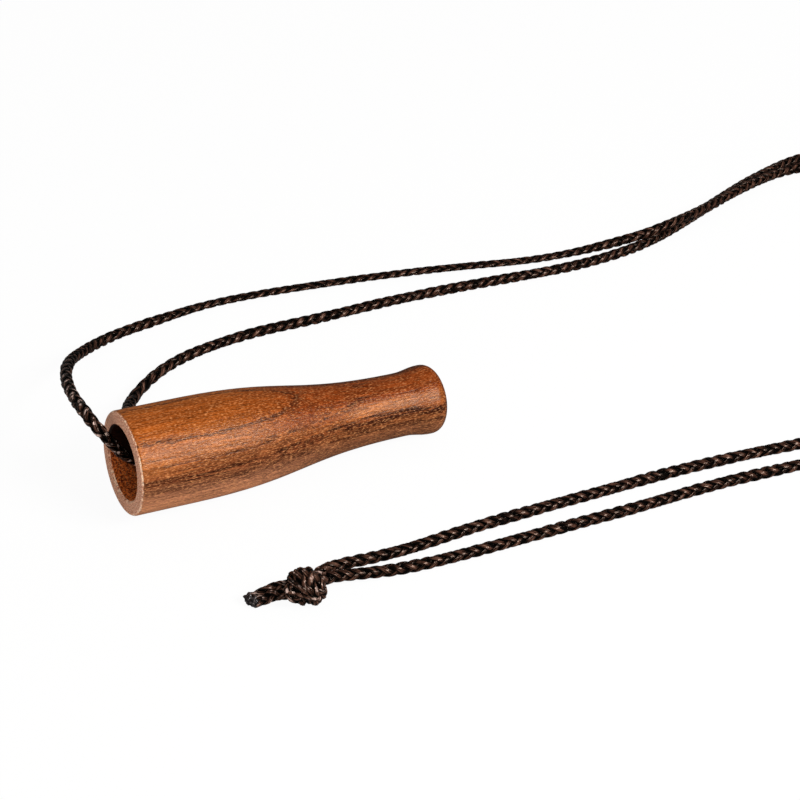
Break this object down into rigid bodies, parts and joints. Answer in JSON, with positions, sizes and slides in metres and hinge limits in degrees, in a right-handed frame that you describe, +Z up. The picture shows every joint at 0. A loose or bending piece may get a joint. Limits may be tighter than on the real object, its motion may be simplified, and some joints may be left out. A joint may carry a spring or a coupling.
{
  "type": "bird call",
  "caption": "Turned walnut call with an open bell, slim neck and flared mouthpiece, a brass reed unit inside and a braided neck lanyard knotted into a loop.",
  "frame": {"origin": "on the table, under the middle of the turned body's length and width", "axes": "+X from the bell to the mouthpiece, +Y to the back of the picture, +Z up; the call lies at rest on its belly and its lip"},
  "size_m": [0.2919, 0.1451, 0.0275],
  "materials": {
    "walnut": "oiled and lightly buffed turned walnut, grain along the axis",
    "cork": "fine pressed cork",
    "brass": "drawn brass, bright",
    "reed_brass": "hard-rolled brass strip",
    "cord": "dark brown braided cord, slightly shiny yarns"
  },
  "bodies": {
    "call": {"barrel": "walnut", "reed_holder": "cork", "reed_trough": "brass", "reed_collar": "brass", "reed_tail": "reed_brass", "cord_mouth_strand": "cord", "cord_side_strand": "cord", "cord_knot": "cord"},
    "reed": {"reed_tongue": "reed_brass"}
  },
  "joints": [
    {"name": "reed_flex", "type": "hinge", "parent": "call", "child": "reed", "pos_m": [0.02701, 0, 0.01061], "axis": [0, 1, 0], "range_deg": [0, 2.3], "stiffness_Nm_per_rad": 0.05}
  ]
}
